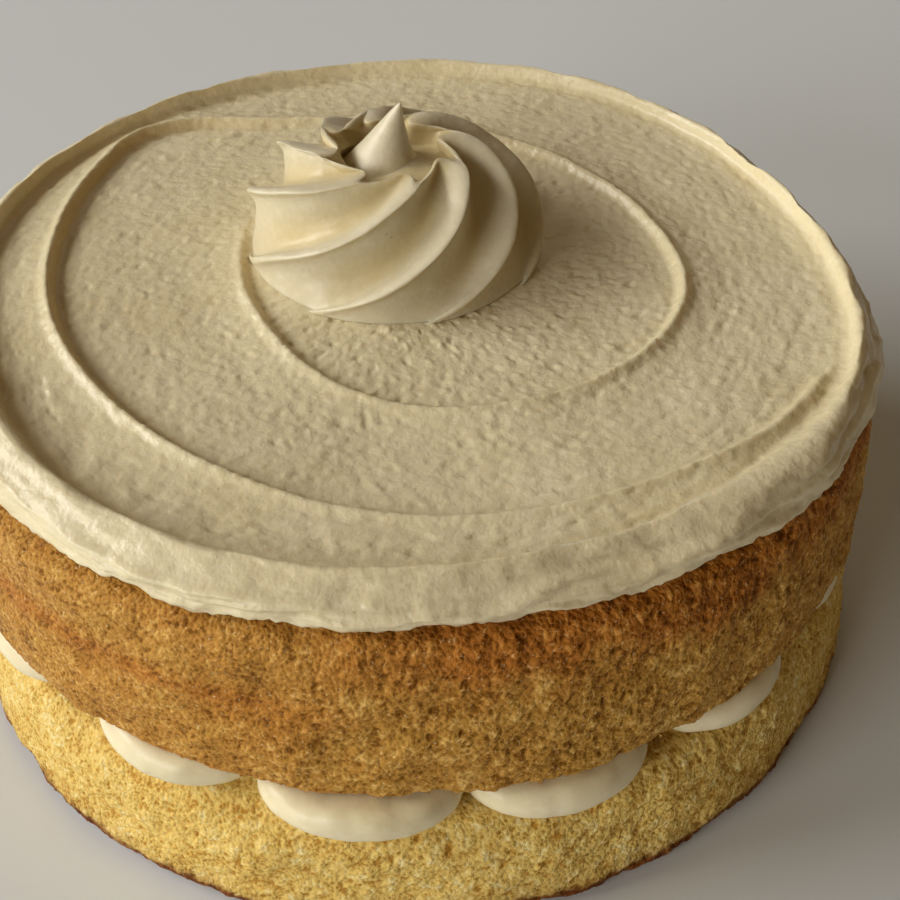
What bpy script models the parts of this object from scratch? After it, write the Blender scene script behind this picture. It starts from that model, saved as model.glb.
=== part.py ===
"""A two-layer vanilla sponge cake with piped cream between the layers and a piped rosette on top.

Metres, +Z up. The origin is the middle of the flat base. The front, with the rosette's lowest
ridges towards the viewer, faces -Y.
"""

import math
import random

import bpy
from mathutils import Vector, noise

MM = 0.001
GAP = 0.3 * MM  # between pieces that rest on or against each other

SPONGE_RADIUS = 75.0 * MM  # the tin that the sponges were baked in
LOWER_TOP = 22.5 * MM  # height of the lower sponge
UPPER_BOTTOM = 28.7 * MM  # the cream between the sponges is 6.2 mm thick
UPPER_TOP = 56.0 * MM
ICING_TOP = 60.3 * MM  # the level between the ridges of the top icing
RIM_HEIGHT = 2.6 * MM  # the icing's rim above that level

ROSETTE_CENTRE = Vector((-1.6 * MM, 10.6 * MM, 0.0))
ROSETTE_HEIGHT = 24.3 * MM

AROUND = 96  # segments round a turned piece


def material(name, colour, roughness):
    """A Principled material with a linear colour."""
    made = bpy.data.materials.new(name)
    made.use_nodes = True
    shader = made.node_tree.nodes["Principled BSDF"]
    shader.inputs["Base Color"].default_value = (*colour, 1.0)
    shader.inputs["Roughness"].default_value = roughness
    shader.inputs["Metallic"].default_value = 0.0
    return made


def body_from_rings(name, rings, finish):
    """A closed solid through rings of equal point counts, listed from the bottom upwards and
    counter-clockwise seen from above. A fan closes each end."""
    count = len(rings[0])
    points = [point for ring in rings for point in ring]
    faces = []
    for row in range(len(rings) - 1):
        for i in range(count):
            j = (i + 1) % count
            low, high = row * count, (row + 1) * count
            faces.append((low + i, low + j, high + j, high + i))
    last = (len(rings) - 1) * count
    for start, upwards in ((0, False), (last, True)):
        centre = len(points)
        ring = rings[0] if start == 0 else rings[-1]
        points.append(sum(ring, Vector()) / count)
        for i in range(count):
            a, b = start + i, start + (i + 1) % count
            faces.append((a, b, centre) if upwards else (b, a, centre))
    mesh = bpy.data.meshes.new(name)
    mesh.from_pydata(points, [], faces)
    mesh.validate()
    mesh.shade_smooth()
    mesh.set_sharp_from_angle(angle=math.radians(40))
    mesh.materials.append(finish)
    made = bpy.data.objects.new(name, mesh)
    bpy.context.scene.collection.objects.link(made)
    return made


def turned_rings(profile, around=AROUND, uneven=None):
    """Rings of a turned profile of (radius, height). uneven(angle, radius, height) moves a point
    and returns its own radius and height."""
    rings = []
    for radius, height in profile:
        ring = []
        for i in range(around):
            angle = 2 * math.pi * i / around
            r, z = uneven(angle, radius, height) if uneven else (radius, height)
            ring.append(Vector((r * math.cos(angle), r * math.sin(angle), z)))
        rings.append(ring)
    return rings


def sponge_unevenness(seed, low, high):
    """Crags of the baked side: the wall goes in and out, and its flat top and foot stay flat."""

    def uneven(angle, radius, height):
        wall = max(0.0, (radius / SPONGE_RADIUS - 0.92) / 0.08)
        inside = low + 0.2 * MM < height < high - 0.2 * MM
        # The half turns match, which keeps the middle of the cake's box over the origin.
        ring = Vector((math.cos(2 * angle), math.sin(2 * angle), 0.0))
        slow = noise.noise(ring * 0.7 + Vector((seed, 0.0, height / (25 * MM))))
        crag = noise.noise(ring * 4.5 + Vector((seed, 4.0, height / (7 * MM))))
        moved = radius + wall * (0.7 * MM * slow + (0.45 * MM * crag if inside else 0.0))
        return moved, height

    return uneven


def lower_sponge(finish):
    """The lower layer: cut open on top, with an upright side and a crust round its foot."""
    edge = SPONGE_RADIUS + 2.6 * MM
    top = LOWER_TOP
    profile = [
        (edge - 8.0 * MM, 0.0),
        (edge - 1.8 * MM, 0.0),
        (edge - 0.4 * MM, 0.8 * MM),
        (edge, 2.6 * MM),
        (edge - 0.3 * MM, 7.0 * MM),
        (edge - 0.7 * MM, 12.0 * MM),
        (edge - 1.0 * MM, 16.0 * MM),
        (edge - 1.9 * MM, 19.0 * MM),
        (edge - 3.8 * MM, top - 1.0 * MM),
        (edge - 8.0 * MM, top),
    ]
    rings = turned_rings(profile, uneven=sponge_unevenness(2.7, 0.0, top))
    return body_from_rings("lower_sponge", rings, finish)


def upper_sponge(finish):
    """The upper layer: browned all round, widest near its lower edge, rounded under the icing."""
    edge = SPONGE_RADIUS + 0.6 * MM
    low, top = UPPER_BOTTOM + GAP, UPPER_TOP
    profile = [
        (edge - 7.0 * MM, low),
        (edge - 0.8 * MM, low),
        (edge, low + 1.0 * MM),
        (edge + 0.2 * MM, low + 5.0 * MM),
        (edge, low + 10.0 * MM),
        (edge - 0.4 * MM, low + 15.0 * MM),
        (edge - 1.0 * MM, low + 20.0 * MM),
        (edge - 1.8 * MM, top - 3.2 * MM),
        (edge - 3.2 * MM, top - 0.8 * MM),
        (edge - 6.0 * MM, top),
    ]
    rings = turned_rings(profile, uneven=sponge_unevenness(8.1, low, top))
    return body_from_rings("upper_sponge", rings, finish)


# The dollops that show: (middle, half width, reach beyond the sponge radius), in degrees and mm.
SHOWN_DOLLOPS = [
    (-141.6, 10.6, 1.5),
    (-116.6, 10.8, 2.2),
    (-93.9, 11.6, 4.6),
    (-71.4, 11.0, 3.8),
    (-48.0, 10.4, 2.3),
]
DOLLOP_COUNT = 16
DOLLOP_CAP = 9.0 * MM  # length of a dollop's rounded outer end
DOLLOP_BULGE = 2.6 * MM  # how far a dollop's side bulges beyond where it touches the sponge
DOLLOP_INNER = 46.0 * MM  # where the ring of dollops meets the cream inside it


def dollop_plan():
    """The shown dollops, then the rest spread evenly over the back by a seeded draw."""
    draw = random.Random(11)
    first, last = SHOWN_DOLLOPS[0], SHOWN_DOLLOPS[-1]
    start = last[0] + last[1]
    end = first[0] - first[1] + 360.0
    hidden = DOLLOP_COUNT - len(SHOWN_DOLLOPS)
    step = (end - start) / hidden
    plan = list(SHOWN_DOLLOPS)
    for i in range(hidden):
        middle = start + step * (i + 0.5) + draw.uniform(-0.4, 0.4)
        plan.append((middle, step / 2 - draw.uniform(0.5, 1.6), draw.uniform(-0.4, 0.8)))
    return plan


def dollop_ring(middle, half, reach, scale, height, around):
    """One level of a dollop: straight where it meets its neighbours, its outer end an arc."""
    squareness = 0.45
    outer = SPONGE_RADIUS + reach * MM - (1 - scale) * DOLLOP_BULGE
    inner = DOLLOP_INNER + (1 - scale) * DOLLOP_BULGE
    arc = outer - DOLLOP_CAP
    turn = math.radians(middle)
    out = Vector((math.cos(turn), math.sin(turn), 0.0))
    side = Vector((-math.sin(turn), math.cos(turn), 0.0))
    ring = []
    for i in range(around):
        angle = 2 * math.pi * (i + 0.5) / around
        c, s = math.cos(angle), math.sin(angle)
        if c > 0:
            radius, across = arc + DOLLOP_CAP * c, s
        else:
            radius = arc - (arc - inner) * abs(c) ** squareness
            across = math.copysign(abs(s) ** squareness, s)
        wedge = min(radius, arc) * math.tan(math.radians(half))
        width = wedge - GAP / 2 - (1 - scale) * DOLLOP_BULGE
        ring.append(out * radius + side * (width * across) + Vector((0, 0, height)))
    return ring


def cream_dollops(finish, around=18):
    """The blobs of cream piped round the edge, pressed flat by the upper layer."""
    low, high = LOWER_TOP + GAP, UPPER_BOTTOM
    # (share of the bulge, share of the height)
    levels = [(0.0, 0.0), (0.75, 0.18), (1.0, 0.5), (0.75, 0.82), (0.0, 1.0)]
    for n, (middle, half, reach) in enumerate(dollop_plan(), start=1):
        rings = [
            dollop_ring(middle, half, reach, scale, low + (high - low) * share, around)
            for scale, share in levels
        ]
        body_from_rings(f"cream_dollop_{n:02d}", rings, finish)


def cream_filling(finish):
    """The cream inside the ring of dollops, which carries the upper layer."""
    edge = DOLLOP_INNER - GAP
    low, high = LOWER_TOP + GAP, UPPER_BOTTOM
    profile = [(edge - 0.6 * MM, low), (edge, (low + high) / 2), (edge - 0.6 * MM, high)]
    return body_from_rings("cream_filling", turned_rings(profile, around=48), finish)


# The ridge that the palette knife left: (angle in degrees, radius, height), from the rosette out
# to the rim. The angle runs on past each full turn.
RIDGE_ROUTE = [
    (150, 30.4, 0.2),
    (171, 26.8, 0.9),
    (198, 24.9, 1.3),
    (225, 25.6, 1.3),
    (255, 29.8, 1.1),
    (282, 33.7, 1.0),
    (311, 37.7, 1.2),
    (341, 42.6, 1.6),
    (358, 43.9, 1.7),
    (383, 43.0, 1.5),
    (408, 43.2, 1.3),
    (431, 45.4, 1.3),
    (450, 49.2, 1.3),
    (467, 51.0, 1.3),
    (480, 55.4, 1.5),
    (490, 62.0, 1.7),
    (500, 64.6, 2.0),
    (512, 61.8, 2.0),
    (532, 57.6, 2.0),
    (554, 54.4, 1.9),
    (577, 51.8, 1.7),
    (602, 51.8, 1.4),
    (627, 54.0, 1.1),
    (649, 56.4, 1.1),
    (668, 59.4, 1.3),
    (684, 63.6, 1.4),
    (697, 66.0, 1.0),
]
RIDGE_HALF_WIDTH = 3.0 * MM
RIDGE_SUNK = 0.8 * MM  # how deep the ridge's foot goes into the icing


def smooth_through(points, steps):
    """A Catmull-Rom curve through points of any width."""
    ends = [points[0], *points, points[-1]]
    made = []
    for a, b, c, d in zip(ends, ends[1:], ends[2:], ends[3:]):
        for k in range(steps):
            t = k / steps
            weights = (
                (2 * t**2 - t**3 - t) / 2,
                (3 * t**3 - 5 * t**2 + 2) / 2,
                (4 * t**2 - 3 * t**3 + t) / 2,
                (t**3 - t**2) / 2,
            )
            made.append(tuple(sum(w * v for w, v in zip(weights, values)) for values in zip(a, b, c, d)))
    made.append(tuple(float(value) for value in points[-1]))
    return made


def knife_ridge():
    """A low ridge swept along its spiral route, its foot sunk into the icing."""
    route = smooth_through(RIDGE_ROUTE, 4)
    centres = [
        Vector((r * MM * math.cos(math.radians(a)), r * MM * math.sin(math.radians(a)), 0))
        for a, r, _ in route
    ]
    # (share of the half width, share of the height), where None is the sunk foot.
    section = [(-1, None), (1, None), (0.92, 0), (0.42, 0.62), (0, 1), (-0.42, 0.62), (-0.92, 0)]
    points = []
    for i, (_, _, height) in enumerate(route):
        before, after = centres[max(i - 1, 0)], centres[min(i + 1, len(centres) - 1)]
        along = (after - before).normalized()
        side = Vector((-along.y, along.x, 0.0))
        width = RIDGE_HALF_WIDTH * (0.4 + 0.6 * min(1.0, height / 1.2))
        for across, up in section:
            z = ICING_TOP + (-RIDGE_SUNK if up is None else (up * height - 0.25 * (1 - up)) * MM)
            points.append(centres[i] + side * (across * width) + Vector((0, 0, z)))
    count = len(section)
    faces = []
    for i in range(len(route) - 1):
        for k in range(count):
            m = (k + 1) % count
            faces.append((i * count + k, i * count + m, (i + 1) * count + m, (i + 1) * count + k))
    faces.append(tuple(reversed(range(count))))
    faces.append(tuple(range((len(route) - 1) * count, len(route) * count)))
    mesh = bpy.data.meshes.new("knife_ridge")
    mesh.from_pydata(points, [], faces)
    made = bpy.data.objects.new("knife_ridge", mesh)
    bpy.context.scene.collection.objects.link(made)
    return made


def apply_union(target, other):
    """Joins other into target by a Boolean union, and removes it."""
    join = target.modifiers.new("join", "BOOLEAN")
    join.operation = "UNION"
    join.solver = "EXACT"
    join.object = other
    graph = bpy.context.evaluated_depsgraph_get()
    joined = bpy.data.meshes.new_from_object(target.evaluated_get(graph))
    target.modifiers.clear()
    target.data = joined
    bpy.data.objects.remove(other)


# How far the icing's side goes in and out: (times round, size in mm, degrees to its first crest).
ICING_WAVES = [(2, 0.68, -30.5), (3, 0.56, -28.7), (4, 0.92, -29.5), (5, 0.24, -18.0)]


def buttercream_top(finish):
    """The icing spread over the top: a raised rim, a band that shows at the side, and the ridge."""
    low = UPPER_TOP + GAP
    level, crest = ICING_TOP, ICING_TOP + RIM_HEIGHT
    profile = [
        (64.0 * MM, low),
        (70.4 * MM, low),
        (71.1 * MM, low + 0.4 * MM),
        (71.5 * MM, low + 2.0 * MM),
        (71.5 * MM, low + 3.6 * MM),
        (71.0 * MM, low + 5.0 * MM),
        (70.1 * MM, crest - 0.4 * MM),
        (68.9 * MM, crest),
        (67.5 * MM, crest - 0.5 * MM),
        (65.8 * MM, level + 0.9 * MM),
        (63.5 * MM, level + 0.15 * MM),
        (59.0 * MM, level),
    ]

    def uneven(angle, radius, height):
        ring = Vector((math.cos(angle), math.sin(angle), 0.0))
        share = max(0.0, (radius - 60 * MM) / (11 * MM))
        wave = sum(size * math.cos(n * (angle - math.radians(at))) for n, size, at in ICING_WAVES)
        ripple = noise.noise(ring * 7.0 + Vector((0.0, 6.0, height / (3 * MM))))
        above = max(0.0, height - level) / RIM_HEIGHT
        moved = radius + share * (wave + 0.35 * ripple) * MM
        return moved, height + above * 0.25 * ripple * MM

    rings = turned_rings(profile, uneven=uneven)
    made = body_from_rings("buttercream_top", rings, finish)
    apply_union(made, knife_ridge())
    made.data.shade_smooth()
    made.data.set_sharp_from_angle(angle=math.radians(50))
    return made


ROSETTE_RIDGES = 8  # points of the star nozzle
ROSETTE_START = math.radians(-119)  # the foot of the first ridge
# A ridge's way from its foot to where it folds in round the tip: radius and height in mm, how
# far it has turned in degrees, and the depth of the crease that lies over it, in mm.
ROSETTE_RIDGE = [
    (24.2, 0.0, 0, 1.4),
    (24.3, 2.2, 12, 2.6),
    (23.9, 4.7, 25, 3.8),
    (23.0, 7.4, 37, 4.6),
    (21.5, 10.0, 49, 5.2),
    (19.2, 12.6, 62, 5.6),
    (16.2, 14.8, 75, 5.8),
    (13.1, 16.0, 89, 5.6),
    (10.3, 16.4, 104, 5.0),
    (8.3, 16.0, 120, 4.0),
]
# The smooth tip inside the ridges: radius and height in mm.
ROSETTE_TIP = [
    (7.0, 14.0),
    (6.4, 13.2),
    (6.2, 15.0),
    (5.4, 17.4),
    (4.1, 19.6),
    (2.6, 21.5),
    (1.4, 23.0),
    (0.5, 23.9),
    (0.15, 24.3),
]
TIP_LEAN = 2.0 * MM  # the tip was pulled off to the right


def rosette_rows():
    """For each level: the ridge's (radius, height), the way out of the cream there, the depth
    of the creases, and how far the ridges have turned."""
    ridge = smooth_through(ROSETTE_RIDGE, 2)
    rows = []
    for i, (radius, height, turn, depth) in enumerate(ridge):
        before, after = ridge[max(i - 1, 0)], ridge[min(i + 1, len(ridge) - 1)]
        out = Vector((after[1] - before[1], before[0] - after[0])).normalized()
        rows.append(((radius * MM, height * MM), out, depth * MM, math.radians(turn)))
    last = rows[-1][3]
    for radius, height in ROSETTE_TIP:
        rows.append(((radius * MM, height * MM), Vector((0.0, 1.0)), 0.0, last))
    return rows


def rosette_point(row, share, ridge):
    """A point of the rosette. share runs from 0 on one ridge to 1 on the next, and the crease
    lies close over the lower ridge, so that each strip folds over the one below it."""
    (radius, height), out, depth, turn = row
    sink = math.sin(math.pi * share**2.3) ** 0.8
    radius -= out.x * depth * sink
    height = max(0.0, height - out.y * depth * sink)
    angle = ROSETTE_START + turn + 2 * math.pi * (ridge + share) / ROSETTE_RIDGES
    lean = TIP_LEAN * (height / ROSETTE_HEIGHT) ** 3
    return Vector((radius * math.cos(angle) + lean, radius * math.sin(angle), height))


def buttercream_rosette(finish):
    """The piped rosette: strips of cream that turn as they rise, and close round a pulled tip."""
    shares = [0.0, 0.1, 0.28, 0.46, 0.62, 0.75, 0.86, 0.94]
    foot = ROSETTE_CENTRE + Vector((0, 0, ICING_TOP + GAP))
    rings = []
    for row in rosette_rows():
        ring = [
            foot + rosette_point(row, share, ridge)
            for ridge in range(ROSETTE_RIDGES)
            for share in shares
        ]
        rings.append(ring)
    return body_from_rings("buttercream_rosette", rings, finish)


def main():
    for old in list(bpy.data.objects):
        bpy.data.objects.remove(old)
    browned = material("browned_sponge", (0.42, 0.19, 0.05), 0.85)
    pale = material("pale_sponge", (0.66, 0.46, 0.16), 0.9)
    cream = material("piped_cream", (0.80, 0.74, 0.58), 0.45)
    icing = material("vanilla_buttercream", (0.72, 0.62, 0.40), 0.5)
    lower_sponge(pale)
    upper_sponge(browned)
    cream_filling(cream)
    cream_dollops(cream)
    buttercream_top(icing)
    buttercream_rosette(icing)


main()
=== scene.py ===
import math
import random

import bmesh
import bpy
import numpy as np
from mathutils import Matrix, Vector, noise


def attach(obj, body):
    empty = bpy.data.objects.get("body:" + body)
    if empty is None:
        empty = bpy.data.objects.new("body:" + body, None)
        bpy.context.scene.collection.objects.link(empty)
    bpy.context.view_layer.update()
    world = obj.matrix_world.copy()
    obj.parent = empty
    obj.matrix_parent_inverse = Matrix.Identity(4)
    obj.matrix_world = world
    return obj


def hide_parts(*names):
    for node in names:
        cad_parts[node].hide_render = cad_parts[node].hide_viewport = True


# The vanilla cake of the photograph: lengths here are millimetres, and turn to metres as a mesh is finished.
MM = 0.001
SPONGE_RADIUS = 75.0
LOWER_TOP = 22.5
UPPER_BOTTOM = 29.0
UPPER_TOP = 56.0
ICING_LOW = 56.3
ICING_TOP = 60.3
ICING_CREST = 62.9
ROSETTE_CENTRE = (-1.6, 10.6)
ROSETTE_HEIGHT = 24.3

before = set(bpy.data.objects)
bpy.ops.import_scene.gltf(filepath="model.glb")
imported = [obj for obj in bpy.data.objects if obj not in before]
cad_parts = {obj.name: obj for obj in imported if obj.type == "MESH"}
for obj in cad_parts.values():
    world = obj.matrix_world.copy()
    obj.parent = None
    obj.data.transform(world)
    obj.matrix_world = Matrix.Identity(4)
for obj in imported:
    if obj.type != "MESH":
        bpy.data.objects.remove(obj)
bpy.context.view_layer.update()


# Noise, on arrays of points in millimetres


def lumps(points, size, seed, stretch=(1, 1, 1)):
    """Smooth random lumps of about one size, from about -1 to 1."""
    places = points / (size * np.array(stretch)) + (seed, 2.3 * seed, 5.1)
    return 1.6 * np.array([noise.noise(place) for place in places.tolist()])


def cells(points, size, seed):
    """A foam of cells of about one size: 0 at a wall to about 1 in the middle, and a number for each cell."""
    middle = np.empty(len(points))
    number = np.empty(len(points))
    for index, place in enumerate((points / size + (seed, seed, 0)).tolist()):
        distances, centres = noise.voronoi(place)
        middle[index] = distances[1] - distances[0]
        number[index] = noise.cell(centres[0] * 37.7)
    return np.clip(middle * 1.4, 0, 1), number


def step_between(low, high, value):
    """0 below low, 1 above high, and smooth between."""
    share = np.clip((value - low) / (high - low), 0, 1)
    return share * share * (3 - 2 * share)


# Making meshes


def skin(name, rows, around):
    """A closed skin of rows of points round an axis, rolled up from one grid. Its points are placed later.

    It returns the object, and the place in its mesh of each point of each row."""
    form = bmesh.new()
    bmesh.ops.create_grid(form, x_segments=around, y_segments=rows - 1, size=0.5)
    for vertex in form.verts:
        turn = 2 * math.pi * (vertex.co.x + 0.5)
        vertex.co = (math.cos(turn), math.sin(turn), (vertex.co.y + 0.5) * (rows - 1))
    seam = [vertex for vertex in form.verts if vertex.co.x > 0 and abs(vertex.co.y) < 0.2 / around]
    bmesh.ops.remove_doubles(form, verts=seam, dist=0.01 / around)
    for row in (0, rows - 1):
        ring = [vertex for vertex in form.verts if abs(vertex.co.z - row) < 0.1]
        bmesh.ops.pointmerge(form, verts=ring, merge_co=(0, 0, row))
    bmesh.ops.recalc_face_normals(form, faces=form.faces)
    form.verts.index_update()
    places = np.zeros((rows, around), int)
    for vertex in form.verts:
        row = round(vertex.co.z)
        if row in (0, rows - 1):
            places[row] = vertex.index
        else:
            column = round(math.atan2(vertex.co.y, vertex.co.x) / (2 * math.pi) * around) % around
            places[row, column] = vertex.index
    mesh = bpy.data.meshes.new(name)
    form.to_mesh(mesh)
    form.free()
    piece = bpy.data.objects.new(name, mesh)
    bpy.context.scene.collection.objects.link(piece)
    return piece, places


def set_points(piece, points):
    piece.data.vertices.foreach_set("co", (points * MM).astype(np.float32).reshape(-1))
    piece.data.update()


def put(piece, places, points):
    """Places the points of a skin. The first and last rows are single points, each at its row's mean."""
    points = points.copy()
    for row in (0, -1):
        points[row] = points[row].mean(axis=0)
    co = np.zeros((len(piece.data.vertices), 3))
    co[places.reshape(-1)] = points.reshape(-1, 3)
    set_points(piece, co)


def normals(piece):
    found = np.empty(len(piece.data.vertices) * 3, np.float32)
    piece.data.vertices.foreach_get("normal", found)
    return found.reshape(-1, 3).astype(float)


def points_of(piece):
    found = np.empty(len(piece.data.vertices) * 3, np.float32)
    piece.data.vertices.foreach_get("co", found)
    return found.reshape(-1, 3).astype(float) / MM


def turn_of(points):
    """The angle of each point round the cake's axis."""
    return np.arctan2(points[:, 1], points[:, 0])


def reach_of(points):
    """How far each point is from the cake's axis."""
    return np.hypot(points[:, 0], points[:, 1])


def degrees_off(turn, middle):
    """How many degrees each angle is from a middle one, the short way round."""
    return np.abs((turn - middle + 180) % 360 - 180)


def push(piece, millimetres):
    """Moves each point along its normal."""
    set_points(piece, points_of(piece) + normals(piece) * millimetres[:, None])


def remember(piece, name, values):
    """Keeps one number a point, for the material to read."""
    layer = piece.data.attributes.new(name, "FLOAT", "POINT")
    layer.data.foreach_set("value", np.asarray(values, np.float32))


def finish(piece, material, solid):
    """Gives a piece its material, and puts it in the place of its solid."""
    piece.data.materials.append(material)
    piece.data.polygons.foreach_set("use_smooth", [True] * len(piece.data.polygons))
    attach(piece, "root")
    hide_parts(solid)


def along(profile, spacing):
    """Points along a profile, with the spacing of each of its sides."""
    corners = np.array(profile, float)
    found = [corners[0]]
    for start, end, gap in zip(corners, corners[1:], spacing):
        count = max(1, round(float(np.linalg.norm(end - start)) / gap))
        found += [start + (end - start) * (k + 1) / count for k in range(count)]
    return np.array(found)


def rounded(profile):
    """A profile with its corners worn off."""
    points = np.array(profile, float)
    points[1:-1] = (points[:-2] + 2 * points[1:-1] + points[2:]) / 4
    return points


def smooth_through(points, parts):
    """A smooth line through points (Catmull-Rom), with so many parts between each two."""
    points = np.array(points, float)
    padded = np.vstack([2 * points[0] - points[1], points, 2 * points[-1] - points[-2]])
    found = []
    for a, b, c, d in zip(padded, padded[1:], padded[2:], padded[3:]):
        for part in range(parts):
            t = part / parts
            bend = 2 * a - 5 * b + 4 * c - d
            found.append(0.5 * (2 * b + (c - a) * t + bend * t**2 + (3 * b - a - 3 * c + d) * t**3))
    found.append(points[-1])
    return np.array(found)


# The icing: spread with a palette knife, which leaves a spiral ridge and a raised rim

# Angle in degrees, distance from the middle and height, from the inner end to where it runs into the rim.
RIDGE_ROUTE = [
    (150, 30.4, 0.2), (171, 26.8, 0.9), (198, 24.9, 1.3), (225, 25.6, 1.3), (255, 29.8, 1.1),
    (282, 33.7, 1.0), (311, 37.7, 1.2), (341, 42.6, 1.6), (358, 43.9, 1.7), (383, 43.0, 1.5),
    (408, 43.2, 1.3), (431, 45.4, 1.3), (450, 49.2, 1.3), (467, 51.0, 1.3), (480, 55.4, 1.5),
    (490, 62.0, 1.7), (500, 64.6, 2.0), (512, 61.8, 2.0), (532, 57.6, 2.0), (554, 54.4, 1.9),
    (577, 51.8, 1.7), (602, 51.8, 1.4), (627, 54.0, 1.1), (649, 56.4, 1.1), (668, 59.4, 1.3),
    (684, 63.6, 1.4), (697, 66.0, 1.0),
]  # fmt: skip
# The slow waves of the icing's edge: times round, millimetres, and degrees to the first crest.
ICING_WAVES = [(2, 0.68, -30.5), (3, 0.56, -28.7), (4, 0.92, -29.5), (5, 0.24, -18.0)]
RIDGE_INNER = 1.5  # how far the steep side takes to fall, towards the middle
RIDGE_OUTER = 7.5  # how far the gentle side takes
ICING_AROUND = 540
RIM_INSET = 2.8
CREST_REACH = 68.4
PLAIN_MIDDLE = 12  # the rosette stands over the icing inside this
WINDOW_SIDE = 180  # degrees, as for every side named here: 0 is the cake's right, and -90 or 270 its front
DIMPLED_SIDE = 238


def waves(angles):
    return sum(size * np.cos(times * (angles - math.radians(first))) for times, size, first in ICING_WAVES)


def ridge_line():
    route = smooth_through(RIDGE_ROUTE, 8)
    angle = np.radians(route[:, 0])
    return np.column_stack([route[:, 1] * np.cos(angle), route[:, 1] * np.sin(angle), route[:, 2]])


def beside(line, spots):
    """How far each spot is from a line (positive outside it), and the line's height at the nearest place."""
    best = np.full(len(spots), 1e9)
    height = np.zeros(len(spots))
    side = np.ones(len(spots))
    for start, end in zip(line, line[1:]):
        way = (end - start)[:2]
        ahead = spots - start[:2]
        share = np.clip(ahead @ way / (way @ way), 0, 1)
        off = ahead - share[:, None] * way
        distance = np.hypot(off[:, 0], off[:, 1])
        nearer = distance < best
        best = np.where(nearer, distance, best)
        height = np.where(nearer, start[2] + share * (end[2] - start[2]), height)
        # The line turns anticlockwise, so its outer side is on the right of its way.
        side = np.where(nearer, np.where(way[0] * off[:, 1] - way[1] * off[:, 0] < 0, 1.0, -1.0), side)
    return best * side, height


def ridge_height(distance, height):
    """The knife's ridge in section: a rounded crest, a steep hollow side inside and a long slope outside."""
    inner = np.clip(1 - np.hypot(distance, 0.12) / RIDGE_INNER, 0, 1) ** 1.3
    outer = np.clip(1 - np.hypot(distance, 0.30) / RIDGE_OUTER, 0, 1)
    outer = 0.55 * outer**1.6 + 0.45 * np.clip(1 - np.hypot(distance, 0.30) / 1.8, 0, 1) ** 1.5
    share = step_between(-0.2, 0.2, distance)
    return height * ((1 - share) * inner + share * outer) * 1.15


def rim_inset(angles):
    """How far in the rim's crest lies of its usual place: the knife pushed it in all along the front."""
    turn = np.degrees(angles) % 360
    return RIM_INSET * step_between(172, 205, turn) * step_between(343, 318, turn)


def crest_reach(angles):
    """How far out the rim's crest runs."""
    return CREST_REACH + waves(angles) * 0.8 - rim_inset(angles)


def halves(line):
    """A line in two parts, because it passes most angles twice."""
    middle = len(line) // 2
    return line[: middle + 1], line[middle:]


def icing_section():
    """The icing cut from its middle outwards, down its side and back below: distance and height."""
    low, level, crest = ICING_LOW, ICING_TOP, ICING_CREST
    top = [(0, level), (PLAIN_MIDDLE, level), (63.0, level), (66.9, level + 0.15), (67.8, level + 0.7),
           (68.3, crest - 0.5)]  # fmt: skip
    side = [(68.8, crest + 0.1), (69.7, crest - 0.5), (70.35, crest - 1.4), (70.6, crest - 2.0),
            (71.3, crest - 2.5), (71.7, low + 2.9), (71.9, low + 1.6), (71.6, low + 0.5), (70.9, low),
            (69.0, low), (60, low), (0, low)]  # fmt: skip
    spacing = [1.6, 0.41] + [0.36] * 12 + [1.0, 3.0, 30.0]
    profile = along(top + side, spacing)
    outside = profile[:, 0] > 60
    profile[outside] = rounded(profile)[outside]
    return profile


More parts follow.
